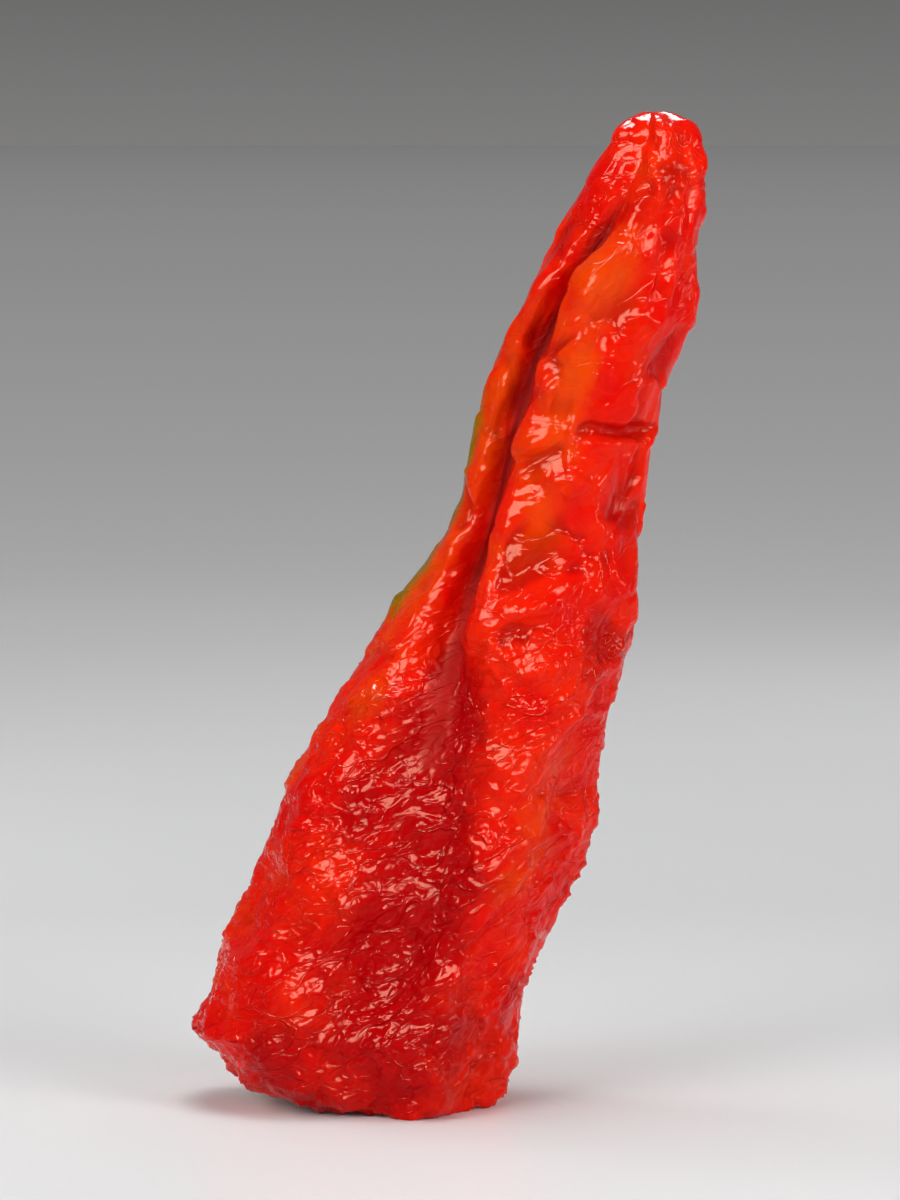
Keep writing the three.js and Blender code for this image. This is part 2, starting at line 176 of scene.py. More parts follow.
def rolling(x, y, z, salt):
    """Soft noise between about -1 and 1: a random slope at each corner of the unit cell, read
    at the point and blended with 6t^5 - 15t^4 + 10t^3."""
    cell = [np.floor(c).astype(np.int64) for c in (x, y, z)]
    part = [c - i for c, i in zip((x, y, z), cell)]
    fade = [f * f * f * (f * (f * 6 - 15) + 10) for f in part]
    total = np.zeros_like(x)
    for corner in np.ndindex(2, 2, 2):
        place = [i + c for i, c in zip(cell, corner)]
        slope = sum((scatter(*place, salt + s) * 2 - 1) * (f - c)
                    for s, f, c in zip((0, 101, 202), part, corner))
        weight = np.prod([w if c else 1 - w for w, c in zip(fade, corner)], axis=0)
        total += slope * weight
    return total * 1.6


def dished(x, y, z, salt):
    """The squared distance to the nearest of points strewn one to a unit cell: shallow dishes
    with sharp ridges between them."""
    cell = [np.floor(c).astype(np.int64) for c in (x, y, z)]
    nearest = np.full(x.shape, 9.0)
    for step in np.ndindex(3, 3, 3):
        place = [i + s - 1 for i, s in zip(cell, step)]
        away = [p + scatter(*place, salt + s) - c for p, s, c in zip(place, (0, 11, 22), (x, y, z))]
        nearest = np.minimum(nearest, away[0] ** 2 + away[1] ** 2 + away[2] ** 2)
    return nearest


def cells(x, y, z, salt):
    """Shallow dishes less their mean."""
    return dished(x, y, z, salt) - DISH_MEAN


def facets(x, y, z, salt, crisp=9):
    """Flat faces with short steep steps between them: each strewn point has a slope of its own,
    height = sum(w * slope . (p - point)) / sum(w), with w = exp(-crisp * squared distance)."""
    cell = [np.floor(c).astype(np.int64) for c in (x, y, z)]
    total, weights = np.zeros(x.shape), np.full(x.shape, 1e-9)
    for step in np.ndindex(3, 3, 3):
        place = [i + s - 1 for i, s in zip(cell, step)]
        away = [c - p - scatter(*place, salt + s) for p, s, c in zip(place, (0, 11, 22), (x, y, z))]
        w = np.exp(-crisp * (away[0] ** 2 + away[1] ** 2 + away[2] ** 2))
        total += w * sum((2 * scatter(*place, salt + s) - 1) * d
                         for s, d in zip((33, 44, 55), away))
        weights += w
    return total / weights


deepest = dished(*np.mgrid[0:9:30j, 0:9:30j, 0:1:4j], 1).max()
print("dish heights run from 0 to about", round(float(deepest), 2))

# %% [markdown]
# ## The plain skin
#
# The fruit grew as one piece, so it is one surface: an angle goes round it and a row
# number goes from the middle of the stalk hollow, out under the shoulder, up the body and
# over the crown.  Level slices are the right section here, because the outline, the furrow
# and the flat foot are all known by height.

# %% Slices of the body
def edges(z):
    """The outline's left and right edge.  Over the crown both close in on CROWN_X by
    sqrt(1 - t^2), a quarter of an ellipse."""
    t = np.clip((z - CAP_START) / (HEIGHT - CAP_START), 0, 1)
    left, right = (through(bends, 1, np.minimum(z, CAP_START)) for bends in (LEFT_EDGE, RIGHT_EDGE))
    open_width = np.sqrt(1 - t ** 2)
    return CROWN_X + (left - CROWN_X) * open_width, CROWN_X + (right - CROWN_X) * open_width


def furrow_place(z):
    """Where the front furrow lies across a slice: 0 in the middle, -1 at the left edge."""
    return through(FURROW, 1, z)


def column_angle(u, z):
    """The compass angle of a column: its own even angle, drawn closer to the furrow's columns
    and then turned by a bell, so that one column runs along the bottom of the furrow."""
    start = FURROW_COLUMN * DEG
    d = turn(u, start)
    v = u - FURROW_CROWD * d * np.exp(-(d / (FURROW_NEAR * DEG)) ** 2)
    return v + (-np.arccos(furrow_place(z)) - start) * bell(v, start, FURROW_REACH * DEG)


def lopsided(d, left, right):
    """A bell with one width to its left and another to its right."""
    return np.exp(-(d / np.where(d > 0, right, left)) ** 2)


def front_relief(across, z):
    """How far the front is pushed back at a place across the slice, in half depths: the
    furrow's lopsided bell, less a bell for the narrow lobe on its left and one for the
    rolled edge on its right."""
    upper, tip = smooth(58, 82, z), smooth(126, 150, z)
    d = across - furrow_place(z)
    depth = 0.27 + 0.27 * upper - 0.36 * tip - 0.14 * smooth(30, 0, z)
    furrow = depth * lopsided(d, 0.42 - 0.15 * upper, 0.36 - 0.28 * upper + 0.14 * tip)
    lobe = 0.05 * upper * (1 - tip) * lopsided(across + 0.86, 0.15, 0.15)
    rolled = (0.04 + 0.10 * upper - 0.08 * tip) * lopsided(d - 0.30 + 0.10 * upper, 0.14, 0.26)
    return furrow - lobe - rolled


def back_relief(angle, z):
    """A factor on the radius: 1 less a bell for each of the shallow furrows."""
    out = np.ones_like(z)
    for way, deep, half in SIDE_FURROWS:
        bent = (way + 9 * np.sin(z / 23 + way)) * DEG
        out = out - deep * (1 - 0.5 * smooth(124, 152, z)) * bell(angle, bent, half * DEG)
    return out


def slices(angle, z):
    """x = middle + half width * cos(angle), y = half depth * (sin(angle) + relief), where the
    relief counts on the front alone, and the furrow's right wall leans out over it."""
    left, right = edges(z)
    half, across, out = (right - left) / 2, np.cos(angle), back_relief(angle, z)
    front = smooth(0.05, -0.30, np.sin(angle))
    flat = np.where(np.sin(angle) < 0, through(FRONT_DEPTH, 1, z), through(BACK_DEPTH, 1, z))
    lean = 0.07 * smooth(70, 84, z) * smooth(150, 130, z) * front
    lean = lean * lopsided(across - furrow_place(z) - 0.11, 0.08, 0.12)
    x = (left + right) / 2 + half * (across * out - lean)
    y = half * flat * (np.sin(angle) * out + front * front_relief(across, z))
    return x, y


# %% The underside
TURNED_FROM = 0.76               # share of the way out where the right side starts to turn up
LIFTED_FROM = 0.32               # the same where the left side starts to rise
BASE_CREASES = [(-90, 22), (62, 16), (126, 16)]   # angle and half angle of each
CREASE_HEIGHT = 1.6


def hollow_roof(radius):
    """Height of the stalk hollow's roof: flat in the middle, and down to the ground by a
    smooth step."""
    return HOLLOW_HEIGHT * (1 - smooth(HOLLOW_FLAT, HOLLOW_RADIUS, radius)) - SINK


def underside(angle, q, x, y):
    """Height under the shoulder, for the share q of the way out from the stalk axis: a
    quarter round to the right, a long rise to the left, plus the hollow, the creases between
    the lobes and a way kept free for the stalk."""
    raised = smooth(0.2, -0.9, np.cos(angle))
    turned = TURNED_FROM + 0.08 * np.minimum(1 - np.cos(angle), 1)
    edge = np.maximum((q - turned) / (1 - turned), 0)
    rounded = 1 - np.sqrt(np.maximum(1 - edge ** 2, 0))
    lifted = np.maximum((q - LIFTED_FROM) / (1 - LIFTED_FROM), 0) ** 1.6
    rise = rounded * (1 - raised) + lifted * raised
    z = SHOULDER * rise + SINK * rise + hollow_roof(np.hypot(x, y))
    creases = sum(bell(angle, way * DEG, half * DEG) for way, half in BASE_CREASES)
    z = z + CREASE_HEIGHT * creases * smooth(0.5, 0.85, q) * (1 - rise)
    c, s = math.cos(STALK_WAY * DEG), math.sin(STALK_WAY * DEG)
    room = np.exp(-((y * c - x * s) / STALK_ROOM_HALF) ** 2) * smooth(3, 8, x * c + y * s)
    return z + room * np.maximum(STALK_ROOM - z, 0)


# %% The whole plain skin on one grid
AROUND = 264
UNDER_ROWS, BODY_ROWS, CAP_ROWS = 60, 298, 20
FLAT_SHARE = 0.35                # share of the lower rows that lie before the shoulder's turn
FLAT_REACH = 0.7                 # how much of the way out they cover
FRONT_CROWD = 0.38               # how much closer the columns stand on the furrowed side


def plain_skin():
    """Columns run round the fruit and rows from the hollow to the crown.  Returns the points,
    their angle and their share q of the way out under the shoulder."""
    even = np.linspace(0, 2 * math.pi, AROUND, endpoint=False)[:, None]
    even = even - FRONT_CROWD * np.cos(even)
    t = np.arange(1, UNDER_ROWS)[None, :] / UNDER_ROWS
    bend = np.clip((t - FLAT_SHARE) / (1 - FLAT_SHARE), 0, 1)
    q_under = np.minimum(t / FLAT_SHARE, 1) * FLAT_REACH
    q_under = q_under + (1 - FLAT_REACH) * np.sin(bend * math.pi / 2)
    z_body = SHOULDER + (CAP_START - SHOULDER) * np.arange(BODY_ROWS + 1)[None, :] / BODY_ROWS
    lift = np.sin(np.arange(1, CAP_ROWS)[None, :] / CAP_ROWS * math.pi / 2)
    z_up = np.concatenate([z_body, CAP_START + (HEIGHT - CAP_START) * lift], 1)
    z_up = np.broadcast_to(z_up, (AROUND, z_up.shape[1]))
    angle = column_angle(even, z_up)
    x_up, y_up = slices(angle, z_up)
    x_in, y_in = (x_up[:, :1] - AXIS_X) * q_under, y_up[:, :1] * q_under
    z_in = underside(angle[:, :1], np.broadcast_to(q_under, x_in.shape), x_in, y_in)
    inner, outer = np.stack([x_in + AXIS_X, y_in, z_in], -1), np.stack([x_up, y_up, z_up], -1)
    points = np.concatenate([inner, outer], 1)
    q = np.concatenate([q_under, np.ones((1, z_up.shape[1]))], 1)
    angle = np.concatenate([np.broadcast_to(angle[:, :1], x_in.shape), angle], 1)
    return points, angle, np.broadcast_to(q, points.shape[:2])


def outward(p):
    """Unit normals of a grid that closes on itself round its first axis: the cross product
    of the step round and the step up."""
    around = np.roll(p, -1, 0) - np.roll(p, 1, 0)
    up = np.gradient(p, axis=1)
    n = np.cross(around, up)
    return n / np.maximum(np.linalg.norm(n, axis=-1, keepdims=True), 1e-9)


skin, angle, share = plain_skin()
print("plain skin:", skin.shape[0], "columns by", skin.shape[1], "rows")

# %% [markdown]
# ## Broad folds
#
# These are the folds that show from across a room, and the solid has them too.  Broad
# dished cells cover the lower half, long folds run up the rest, and a list of single dents
# and swellings puts the ones that stand out where they belong.

# %% Broad folds
FOLD_BEND, FOLD_WAVE = 2.4, 11   # how far soft noise bends the pattern, and its size


def middle(z):
    """Halfway between the outline's two edges."""
    return sum(edges(z)) / 2


def facing(angle):
    """1 on the front, 0 on the back."""
    return smooth(0.1, -0.2, np.sin(angle))


def in_furrow(angle, z, left, right):
    """1 along the bottom of the front furrow, fading to each side, and 0 on the back."""
    return facing(angle) * lopsided(np.cos(angle) - furrow_place(z), left, right)


def folds(x, y, z, angle, q):
    """Dished cells and long dished strips, each less its mean, plus a bell for every dab, all
    fading in the front furrow, at the crown and on the underside."""
    wx, wy, wz = (FOLD_BEND * rolling(x / FOLD_WAVE, y / FOLD_WAVE, z / FOLD_WAVE, salt)
                  for salt in (7, 307, 607))
    sx, sy, sz = x - middle(z) + wx, y + wy, z + wz
    low, top, upper = smooth(88, 66, z), smooth(112, 130, z), smooth(60, 78, z)
    push = cells(sx / 12.5, sy / 12.5, sz / 11.5, 1) * (0.8 + 1.6 * low)
    push = push + cells(sx / 8, sy / 8, sz / 27, 2) * (1.0 + 1.9 * top)
    push = push + facets(sx / 8.5, sy / 8.5, sz / 10, 20)
    push = push + 0.5 * np.cos(5 * angle + 1) * smooth(148, 155, z)
    for height, way, tall, wide, out in DABS:
        push = push + out * np.exp(-((z - height) / tall) ** 2) * bell(angle, way * DEG, wide * DEG)
    push = push * (1 - 0.85 * upper * in_furrow(angle, z, 0.30, 0.12))
    push = push * (1 - 0.75 * smooth(155, HEIGHT, z))
    return push * smooth(0.62, 1.0, q)


folded = skin + outward(skin) * folds(*np.moveaxis(skin, -1, 0), angle, share)[..., None]
print("broad folds move the skin by up to", round(float(np.abs(folded - skin).max()), 1), "mm")

# %% [markdown]
# ## Crinkles
#
# Over the broad folds lies the fine crumple.  Most of it is of two kinds.  Flat faces tilt
# this way and that and flash as whole patches, and between them the skin is pinched up
# into thin winding lines.  How much there is of each changes from place to place: many
# pinched lines low down, slanting with the pull of the skin, larger flat faces in the
# middle, and long pleats that gather at the crown.  Each zone is a mask between 0 and 1,
# and each layer is noise times a height and its zone.
#
# Noise alone puts nothing in a chosen place, so the faces and creases that one notices
# first on the front are listed one by one and added on top.

# %% Kinds of crinkle
def pinches(x, y, z, salt):
    """Thin raised lines where rolling noise is 0, exp(-(noise / 0.13)^2), broken into lengths
    by a second noise that is coarser."""
    lengths = smooth(-0.25, 0.10, rolling(x / 1.8, y / 1.8, z / 1.8, salt + 50))
    return np.exp(-(rolling(x, y, z, salt) / 0.13) ** 2) * lengths


def slanted(kind, x, y, z, slant, along, across, salt):
    """A pattern stretched along a line that climbs to the right by the slant."""
    c, s = math.cos(slant * DEG), math.sin(slant * DEG)
    return kind((x * c + z * s) / along, y / across, (z * c - x * s) / across, salt)


# %% Faces and creases with a place of their own
CREASES = [                      # push outwards, half width, and the places (x, height) on its way
    (-0.9, 0.9, [(39, 109.6), (46, 108.8), (53, 109.4)]),
    (0.4, 0.7, [(39.5, 107.6), (47, 107), (52, 106.6)]),
    (0.6, 0.8, [(49, 154), (51, 148), (50, 140), (49, 130)]),
    (0.6, 0.8, [(56, 154), (57, 147), (56, 142), (53, 136), (52.5, 127)]),
    (0.5, 0.7, [(24.5, 87), (22.5, 80), (21.5, 74)]),
    (0.5, 0.6, [(19, 76), (24, 73), (28, 67)]),
    (0.5, 0.6, [(22, 77), (27, 73.5), (31, 69)]),
    (0.5, 0.7, [(32, 65), (37, 68), (45, 72)]),
    (0.5, 0.7, [(31, 61), (38, 64), (46, 65)]),
    (0.5, 0.7, [(18.5, 93), (17, 87), (13.5, 83), (6.5, 75)]),
    (0.4, 0.7, [(15, 88), (10, 81), (3, 73)]),
    (0.5, 0.7, [(37, 110), (36.3, 100), (37, 94)]),
]
PLANES = [                       # place (x, height) of a face, its slope to the right and upwards
    (30.5, 84, 0.14, -0.46), (31.5, 75.5, 0.12, -0.42), (26.5, 91, -0.14, 0.16),
    (34.3, 103, 0.28, -0.36), (33.5, 96, -0.10, 0.20), (44, 99, -0.08, 0.10),
    (43, 86, 0.04, -0.16), (46, 77, 0.14, 0.26), (49, 116, 0.02, -0.04), (38, 120, 0.16, -0.10),
    (42, 130, -0.08, 0.14), (38, 80, -0.18, 0.08), (29.5, 100, -0.16, -0.10),
    (39, 92, 0.12, 0.16), (31, 110, 0.14, -0.22), (37, 137, 0.16, -0.24), (46, 141, 0.10, -0.26),
    (53, 146, 0.06, -0.20), (45, 148, -0.14, 0.12), (35, 127, 0.12, 0.18),
]
PLANE_REACH = 2.8                # where a face gives way to its neighbour or to nothing
NO_FACE = 0.02                   # weight of the bare skin between them
FAR = 99.0                       # where the search for the least distance starts


def single_creases(x, z):
    """Each crease is push * exp(-(distance / half width)^2), from straight lines between its
    places."""
    out = np.zeros_like(x)
    for push, wide, places in CREASES:
        near = np.full(x.shape, FAR)
        for (ax, az), (bx, bz) in zip(places, places[1:]):
            dx, dz = bx - ax, bz - az
            t = np.clip(((x - ax) * dx + (z - az) * dz) / (dx ** 2 + dz ** 2), 0, 1)
            near = np.minimum(near, np.hypot(x - ax - t * dx, z - az - t * dz))
        out += push * np.exp(-(near / wide) ** 2)
    return out


def planes(x, z):
    """Flat faces side by side: sum(w * slope . (p - place)) / sum(w), w = exp(-(d / reach)^2)."""
    total, weights = np.zeros_like(x), np.full(x.shape, NO_FACE)
    for px, pz, right, up in PLANES:
        w = np.exp(-((x - px) ** 2 + (z - pz) ** 2) / PLANE_REACH ** 2)
        total += w * (right * (x - px) + up * (z - pz))
        weights += w
    return total / weights


print("placed by hand:", len(CREASES), "creases and", len(PLANES), "faces")

# %% Zones and layers of the crumple
BEND, WAVE = 2.6, 7              # how far soft noise bends the pattern, and its size
CREASE_BEND = 0.8                # the same for the creases that are listed one by one
BELT_HEIGHT, BELT_HALF = 64, 12  # the pressed belt where the right lobe meets the valley
FACES = [                        # zone, height, size across, size upwards, crispness, salt
    ("large faces", 1.0, 8.5, 9.5, 40, 27), ("small faces", 1.0, 4.6, 4.2, 16, 21),
    ("base", 0.7, 5.5, 6.5, 20, 31),
]
LINES = [                        # zone, height, slant, size along it, size across it, salt
    ("right low", 0.60, 20, 10.0, 3.2, 26), ("left low", 0.40, 36, 11.0, 3.6, 22),
    ("belt", 0.40, 24, 12.0, 3.4, 23), ("base", 0.40, 98, 7.0, 3.2, 28),
    ("upper", 1.0, 80, 20.0, 7.5, 30),
]
WEBBING, PLEATS = 0.25, 0.45     # heights of the small winding net low down and of the pleats


def zones(x, z):
    """Masks by height and side: smooth steps, a bell for the belt, and their products."""
    low, top, left = smooth(88, 64, z), smooth(116, 132, z), smooth(6, -8, x - middle(z))
    belt = np.exp(-((z - BELT_HEIGHT) / BELT_HALF) ** 2) * (1 - left)
    return {
        "low": low, "top": top, "base": smooth(24, 8, z), "belt": belt, "left low": low * left,
        "right low": low * (1 - 0.8 * left) * (1 - belt), "upper": (0.10 + 0.25 * top) * (1 - low),
        "large faces": 1.2 - 0.7 * low - 0.5 * top, "small faces": 0.12 + 0.33 * low,
    }


def furrow_edge(push, angle, z, sx, sy, sz):
    """Calms the narrow lobe, breaks the edge of the right lobe into faces, raises a thin line
    along it, and cuts a narrow gutter along the bottom of the furrow."""
    d = np.cos(angle) - furrow_place(z)
    beside = facing(angle) * lopsided(d - 0.20, 0.10, 0.22) * smooth(70, 84, z)
    line = facing(angle) * lopsided(d - 0.10, 0.03, 0.05) * smooth(66, 80, z) * smooth(146, 134, z)
    gutter = in_furrow(angle, z, 0.04, 0.025) * smooth(74, 90, z) * smooth(150, 136, z)
    push = push * (1 - 0.5 * smooth(70, 84, z) * in_furrow(angle, z, 0.55, 0.08))
    return push + 0.4 * beside * facets(sx / 5.0, sy / 5.0, sz / 7.5, 29, 16) + 0.5 * line - 0.9 * gutter


# %% Crinkles
def crinkles(p, angle, q):
    """The sum of the layers, each times its height in millimetres and its zone."""
    x, y, z = p[..., 0], p[..., 1], p[..., 2]
    wx, wy, wz = (rolling(x / WAVE, y / WAVE, z / WAVE, salt) for salt in (11, 411, 811))
    sx, sy, sz = x - middle(z) + BEND * wx, y + BEND * wy, z + BEND * wz
    zone = zones(x, z)
    push = sum(zone[name] * high * facets(sx / wide, sy / wide, sz / tall, salt, crisp)
               for name, high, wide, tall, crisp, salt in FACES)
    valley = in_furrow(angle, z, 0.26, 0.16) * smooth(82, 70, z) * smooth(18, 36, z)
    push = push * (1 - 0.6 * valley)
    push = push + sum(zone[name] * high * slanted(pinches, sx, sy, sz, slant, along, across, salt)
                      for name, high, slant, along, across, salt in LINES)
    push = push + WEBBING * zone["low"] * pinches(sx / 3.0, sy / 3.0, sz / 2.8, 25)
    push = push + PLEATS * zone["top"] * slanted(cells, sx, sy, sz, 78, 20.0, 6.6, 24)
    placed = planes(x, z) + single_creases(x + CREASE_BEND * wx, z + CREASE_BEND * wz)
    push = furrow_edge(push + facing(angle) * placed, angle, z, sx, sy, sz)
    return push * smooth(0.2, 0.7, q) * (1 - 0.4 * smooth(156, HEIGHT, z))


crinkled = folded + outward(folded) * crinkles(folded, angle, share)[..., None]
print("crinkles move the skin by up to", round(float(np.abs(crinkled - folded).max()), 2), "mm")

# %% [markdown]
# ## From a grid to a closed mesh
#
# A grid that closes on itself round one axis has two open ends.  A single point at each
# end closes them with a fan of triangles, so the mesh has no hole and no doubled seam.
# The points are moved to the frame's origin and turned from millimetres into metres.

# %% Mesh from a grid
def closed_mesh(name, p, first, last):
    """Quads between neighbouring columns and rows, and a fan from each pole to the first and
    the last row."""
    columns, rows = p.shape[:2]
    points = np.concatenate([p.reshape(-1, 3), [first], [last]])
    points = (points - [BOX_X, BOX_Y, 0]) * MM
    i, j = np.arange(columns)[:, None], np.arange(rows - 1)[None, :]
    a, b = i * rows + j, (i + 1) % columns * rows + j
    quads = np.stack([a, b, b + 1, a + 1], -1).reshape(-1, 4).tolist()
    i, n = np.arange(columns), columns * rows
    start = np.stack([np.full(columns, n), (i + 1) % columns * rows, i * rows], -1).tolist()
    last_row, next_last = i * rows + rows - 1, (i + 1) % columns * rows + rows - 1
    end = np.stack([np.full(columns, n + 1), last_row, next_last], -1)
    mesh = bpy.data.meshes.new(name)
    mesh.from_pydata(points, [], quads + start + end.tolist())
    mesh.polygons.foreach_set("use_smooth", np.ones(len(mesh.polygons), bool))
    mesh.update()
    piece = bpy.data.objects.new(name, mesh)
    bpy.context.scene.collection.objects.link(piece)
    return piece


def paint(piece, name, values, ends):
    """Stores one number for each point as an attribute that a material can read."""
    layer = piece.data.attributes.new(name, "FLOAT", "POINT")
    layer.data.foreach_set("value", np.concatenate([values.ravel(), ends]).astype(np.float32))


# %% The fruit
CROWN_DIMPLE = 0.25              # how far the last point lies under the row round it
low_corner, high_corner = (np.array(c) / MM + [BOX_X, BOX_Y, 0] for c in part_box("fruit"))
crinkled = np.clip(crinkled, low_corner, high_corner)
crown = crinkled[:, -1].mean(0) - [0, 0, CROWN_DIMPLE]
fruit = closed_mesh("fruit_skin", crinkled, (AXIS_X, 0, HOLLOW_HEIGHT - SINK), crown)
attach(fruit, "root")
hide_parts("fruit")
print("fruit:", len(fruit.data.polygons), "faces")

# %% [markdown]
# ## Where the colours lie
#
# A chilli ripens in patches.  Most of this one is deep red, the lobes that saw less sun
# are orange and a little green is left along the left edge.  Crimson is painted shade in
# the furrow, the valley under it, the hollow under the crease and by the foot, and it also
# darkens a few patches on the back.  Patches that belong to a place on the fruit are
# worked out here, point by point, and stored on the mesh, so the finish follows the form
# from every side.

# %% Colour masks
ORANGE_PATCHES = [               # height, angle, half height, half angle, strength
    (133, -90, 9, 22, 0.75), (117, -96, 10, 18, 0.7), (96, -94, 11, 22, 0.6),
    (112, -148, 24, 22, 0.75), (84, -168, 12, 24, 0.7), (9, -62, 7, 22, 0.4),
    (5, -108, 5, 20, 0.3), (54, 178, 12, 14, 0.6), (30, -170, 12, 30, 0.35),
    (118, 95, 18, 30, 0.6), (60, 80, 14, 24, 0.4), (44, -50, 16, 20, 0.45),
    (150, -95, 6, 26, 0.3), (20, 100, 12, 30, 0.5), (66, -140, 8, 12, 0.4),
]
GREEN_PATCHES = [
    (103, -176, 12, 15, 0.9), (84, 178, 9, 18, 0.85), (92, 150, 10, 14, 0.6),
    (60, 172, 6, 9, 0.4), (124, -172, 7, 8, 0.5),
]
# Painted shade in crimson, added to the furrow's: the valley, the hollow under the crease, the foot, and a
# few patches on the back.
CRIMSON_SHADE_PATCHES = [
    (101, -46, 8, 22, 0.25), (49, -120, 11, 13, 0.6), (31, -72, 14, 12, 0.6),
    (70, -42, 5, 16, 0.35), (26, -110, 9, 14, 0.5), (2, -95, 5, 30, 0.6), (86, 60, 16, 20, 0.6),
    (40, 120, 14, 20, 0.6), (140, -60, 5, 14, 0.5), (16, -20, 10, 16, 0.5),
    (7, -122, 8, 15, 0.9), (4, -70, 4, 12, 0.5), (13, -70, 10, 34, 0.8), (39, -88, 9, 12, 0.5),
]
CREST_HEIGHT, FOLD_HEIGHT = 2.0, 14  # heights of crinkles and of folds that fill the crest mask


def patches(table, angle, z):
    """One minus the product of (1 - strength * bell * bell) over the table's rows."""
    clear = np.ones_like(z)
    for height, way, tall, wide, strength in table:
        clear *= 1 - strength * np.exp(-((z - height) / tall) ** 2) * bell(angle, way * DEG, wide * DEG)
    return 1 - clear


height = skin[..., 2]
upper = smooth(60, 78, height)
# deep: crimson painted shade along the furrow, wide in the valley low down and narrow higher up, fading at
# the foot and the crown, joined with the patches of painted shade.
deep = in_furrow(angle, height, 0.34 - 0.20 * upper, 0.30 - 0.24 * upper)
deep = deep * (0.95 - 0.1 * upper) * smooth(152, 132, height) * smooth(0, 22, height)
deep = 1 - (1 - deep) * (1 - patches(CRIMSON_SHADE_PATCHES, angle, height))
paint(fruit, "orange", patches(ORANGE_PATCHES, angle, height), [0, 0])
paint(fruit, "green", patches(GREEN_PATCHES, angle, height), [0, 0])
paint(fruit, "deep", deep, [0, 0])
# crest: low in the valleys of the crinkles and folds, high on their ridges; the finish paints shade where it
# is low.
crest = np.einsum("ijk,ijk->ij", crinkled - folded, outward(folded))
crest = 0.5 + crest / CREST_HEIGHT
crest = crest + np.einsum("ijk,ijk->ij", folded - skin, outward(skin)) / FOLD_HEIGHT
paint(fruit, "crest", np.clip(crest, 0, 1), [0, 0])
crumple = smooth(90, 66, height) + 0.3 * smooth(112, 130, height)
paint(fruit, "crumple", 0.3 + 0.7 * crumple * smooth(0.1, 0.5, share), [0, 0])
narrow = in_furrow(angle, height, 0.12, 0.06) * smooth(52, 62, height) * smooth(150, 132, height)
paint(fruit, "dull", narrow, [0, 0])
spread = np.round(np.percentile(crest, [5, 50, 95]), 2).tolist()
print("crests and valleys:", spread, "at 5, 50 and 95 in 100")
print("share of the skin that is orange:", round(float(patches(ORANGE_PATCHES, angle, height).mean()), 2))

# %% [markdown]
# ## Effects that several finishes share
#
# A node group is to materials what a function is to code.  Three are needed.  The first
# breaks a plain colour up into soft blotches.  The other two are relief that is too fine
# for the mesh: winding crests of two sizes with a little grain, and thin raised lines that
# slant up to the right.

# %% Node groups
def new_group(name, result, **values):
    """A shader group with a Vector input, number inputs with these values and one number
    output.  Returns it with its two end nodes."""
    group = bpy.data.node_groups.new(name, "ShaderNodeTree")
    group.interface.new_socket("Vector", in_out="INPUT", socket_type="NodeSocketVector")
    for label, value in values.items():
        socket = group.interface.new_socket(label, in_out="INPUT", socket_type="NodeSocketFloat")
        socket.default_value = value
    group.interface.new_socket(result, in_out="OUTPUT", socket_type="NodeSocketFloat")
    return group, group.nodes.new("NodeGroupInput"), group.nodes.new("NodeGroupOutput")


def feed(tree, socket, value):
    """Links a socket to another one, or gives it a plain value."""
    if isinstance(value, bpy.types.NodeSocket):
        tree.links.new(socket, value)
    else:
        socket.default_value = value


def add(tree, kind, **settings):
    """One node of a tree.  Settings named as its properties set them, the others feed sockets."""
    node = tree.nodes.new(kind)
    for key, value in settings.items():
        if hasattr(node, key):
            setattr(node, key, value)
        else:
            feed(tree, node.inputs[key.replace("_", " ")], value)
    return node


def maths(tree, operation, *values):
    """The result of a Math node on these values."""
    node = add(tree, "ShaderNodeMath", operation=operation)
    for socket, value in zip(node.inputs, values):
        feed(tree, socket, value)
    return node.outputs["Value"]


def stretched(tree, value, start, end, least=0.0, most=1.0, curve="SMOOTHSTEP"):
    """A value that runs from start to end, mapped to run from least to most."""
    return add(tree, "ShaderNodeMapRange", interpolation_type=curve, Value=value, From_Min=start,
               From_Max=end, To_Min=least, To_Max=most).outputs["Result"]


def mottling():
    """Blotches: two sizes of noise added and stretched between 0 and 1."""
    group, start, end = new_group("mottling", "Value", Size=60.0)
    noise = add(group, "ShaderNodeTexNoise", Vector=start.outputs["Vector"],
                Scale=start.outputs["Size"], Detail=4.0, Roughness=0.6)
    feed(group, end.inputs["Value"], stretched(group, noise.outputs["Fac"], 0.35, 0.68))
    return group


def crease(tree, vector, size, detail):
    """Winding crests: minus the rounded size of noise round its middle value."""
    noise = add(tree, "ShaderNodeTexNoise", Vector=vector, Scale=size, Detail=detail, Distortion=0.7)
    off = maths(tree, "SUBTRACT", noise.outputs["Fac"], 0.5)
    return maths(tree, "SMOOTH_MAX", off, maths(tree, "SUBTRACT", 0.0, off), 0.03)


def raised_lines(tree, vector, size, half_width):
    """Thin raised lines where noise is near its middle value: 1 at it, 0 at the half width."""
    noise = add(tree, "ShaderNodeTexNoise", Vector=vector, Scale=size, Detail=1.0, Distortion=0.5)
    off = maths(tree, "SUBTRACT", noise.outputs["Fac"], 0.5)
    return stretched(tree, maths(tree, "ABSOLUTE", off), half_width, 0.0)


def pinched_relief():
    """Height: two sizes of thin raised lines, drawn out along a line that climbs to the right."""
    group, start, end = new_group("pinched_relief", "Height")
    drawn = add(group, "ShaderNodeMapping", vector_type="TEXTURE", Vector=start.outputs["Vector"],
                Rotation=(0, -22 * DEG, 0), Scale=(1.8, 1.0, 0.8)).outputs["Vector"]
    coarse, fine = raised_lines(group, drawn, 150.0, 0.030), raised_lines(group, drawn, 330.0, 0.045)
    feed(group, end.inputs["Height"], maths(group, "MULTIPLY_ADD", fine, 0.55, coarse))
    return group


